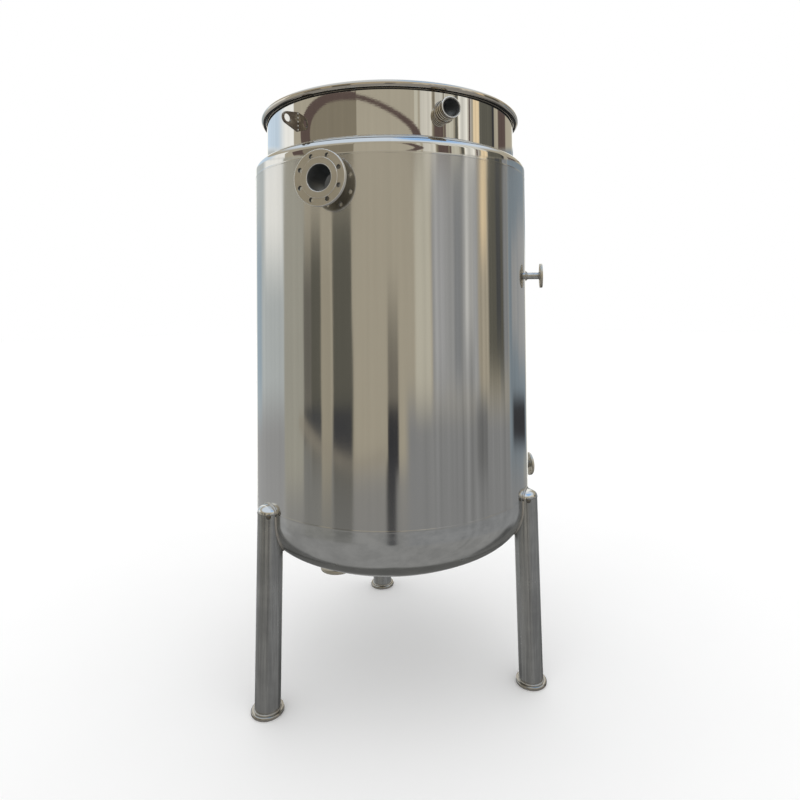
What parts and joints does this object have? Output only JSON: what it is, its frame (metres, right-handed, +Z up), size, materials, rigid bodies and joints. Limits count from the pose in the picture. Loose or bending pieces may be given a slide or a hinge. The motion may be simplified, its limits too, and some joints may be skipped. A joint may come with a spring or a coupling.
{
  "type": "vertical jacketed storage tank",
  "caption": "Upright open-topped stainless tank with a heating jacket, dished bottom, rolled rim, flanged nozzles, lifting lugs and tube legs.",
  "frame": {"origin": "on the floor, under the middle of the box round the whole tank", "axes": "+Z up along the tank; -Y is the front, the way the main nozzle faces; +X is to the right seen from the front"},
  "size_m": [1.3858, 1.3772, 2.585],
  "materials": {
    "jacket_steel": "satin, brushed upright",
    "mirror_steel": "mirror polished",
    "vessel_steel": "mirror polished",
    "bottom_steel": "satin, a little dull",
    "leg_steel": "satin tube",
    "cap_steel": "polished",
    "flange_steel": "machined",
    "pipe_steel": "satin tube with brushed welds",
    "lug_steel": "matt plate"
  },
  "bodies": {
    "root": {"jacket_wall": "jacket_steel", "jacket_shoulder": "mirror_steel", "rolled_rim": "mirror_steel", "neck_nozzle_union": "mirror_steel", "neck_nozzle_pipe": "mirror_steel", "inner_vessel_wall": "vessel_steel", "inner_vessel_bottom": "vessel_steel", "jacket_bottom": "bottom_steel", "leg_tube_left": "leg_steel", "leg_tube_right": "leg_steel", "leg_tube_back": "leg_steel", "leg_cap_left": "cap_steel", "leg_cap_right": "cap_steel", "leg_cap_back": "cap_steel", "leg_foot_left": "cap_steel", "leg_foot_right": "cap_steel", "leg_foot_back": "cap_steel", "main_nozzle_flange": "flange_steel", "upper_side_nozzle_flange": "flange_steel", "lower_side_nozzle_flange": "flange_steel", "outlet_flange": "flange_steel", "main_nozzle_pipe": "pipe_steel", "upper_side_nozzle_pipe": "pipe_steel", "lower_side_nozzle_pipe": "pipe_steel", "outlet_pipe": "pipe_steel", "upper_side_nozzle_collar": "pipe_steel", "lower_side_nozzle_collar": "pipe_steel", "lifting_lug_front": "lug_steel", "lifting_lug_back": "lug_steel"}
  },
  "joints": []
}
